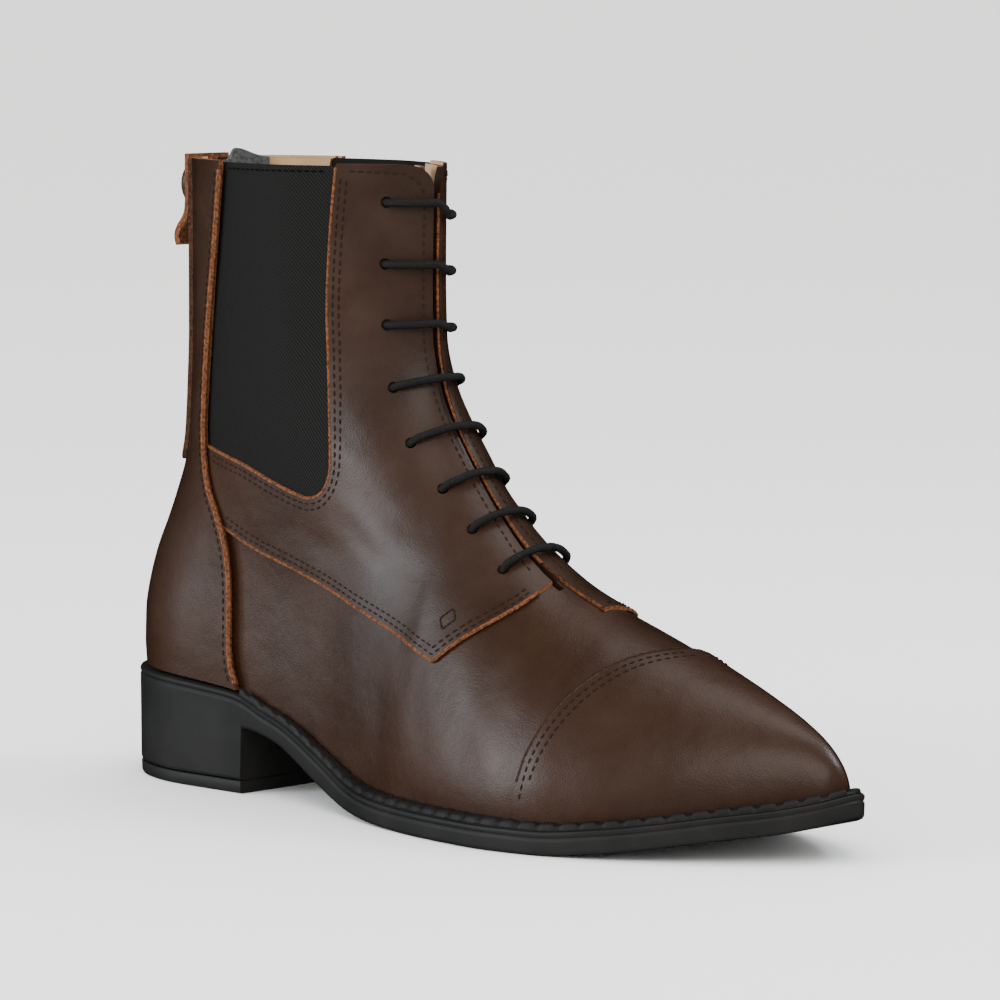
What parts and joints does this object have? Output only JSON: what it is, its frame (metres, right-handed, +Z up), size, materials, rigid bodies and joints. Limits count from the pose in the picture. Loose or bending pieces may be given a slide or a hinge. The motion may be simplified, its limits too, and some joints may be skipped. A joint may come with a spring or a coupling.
{
  "type": "paddock boot",
  "caption": "Ankle-high laced leather paddock boot with elastic side panels, a back zip under a snap tab and a heeled rubber sole.",
  "frame": {"origin": "middle of the sole's outline in plan, on the floor", "axes": "+X towards the toe, +Y towards the inner side of the foot, +Z up"},
  "size_m": [0.285, 0.0954, 0.1985],
  "materials": {
    "leather": "satin",
    "lining": "matte",
    "rubber": "satin",
    "elastic": "matte",
    "cord": "matte",
    "zip": "matte",
    "felt": "matte",
    "zip_metal": "satin"
  },
  "bodies": {
    "root": {"outsole": "rubber", "top_piece": "rubber", "welt": "rubber", "insole": "lining", "upper": "leather", "tongue": "leather", "gore_lateral": "elastic", "gore_medial": "elastic", "toe_cap": "leather", "backstay": "leather", "zip": "zip", "zip_facing": "leather", "zip_slider": "zip_metal", "zip_guard": "felt", "snap_tab": "leather", "snap_cap": "leather", "lace": "cord"}
  },
  "joints": []
}
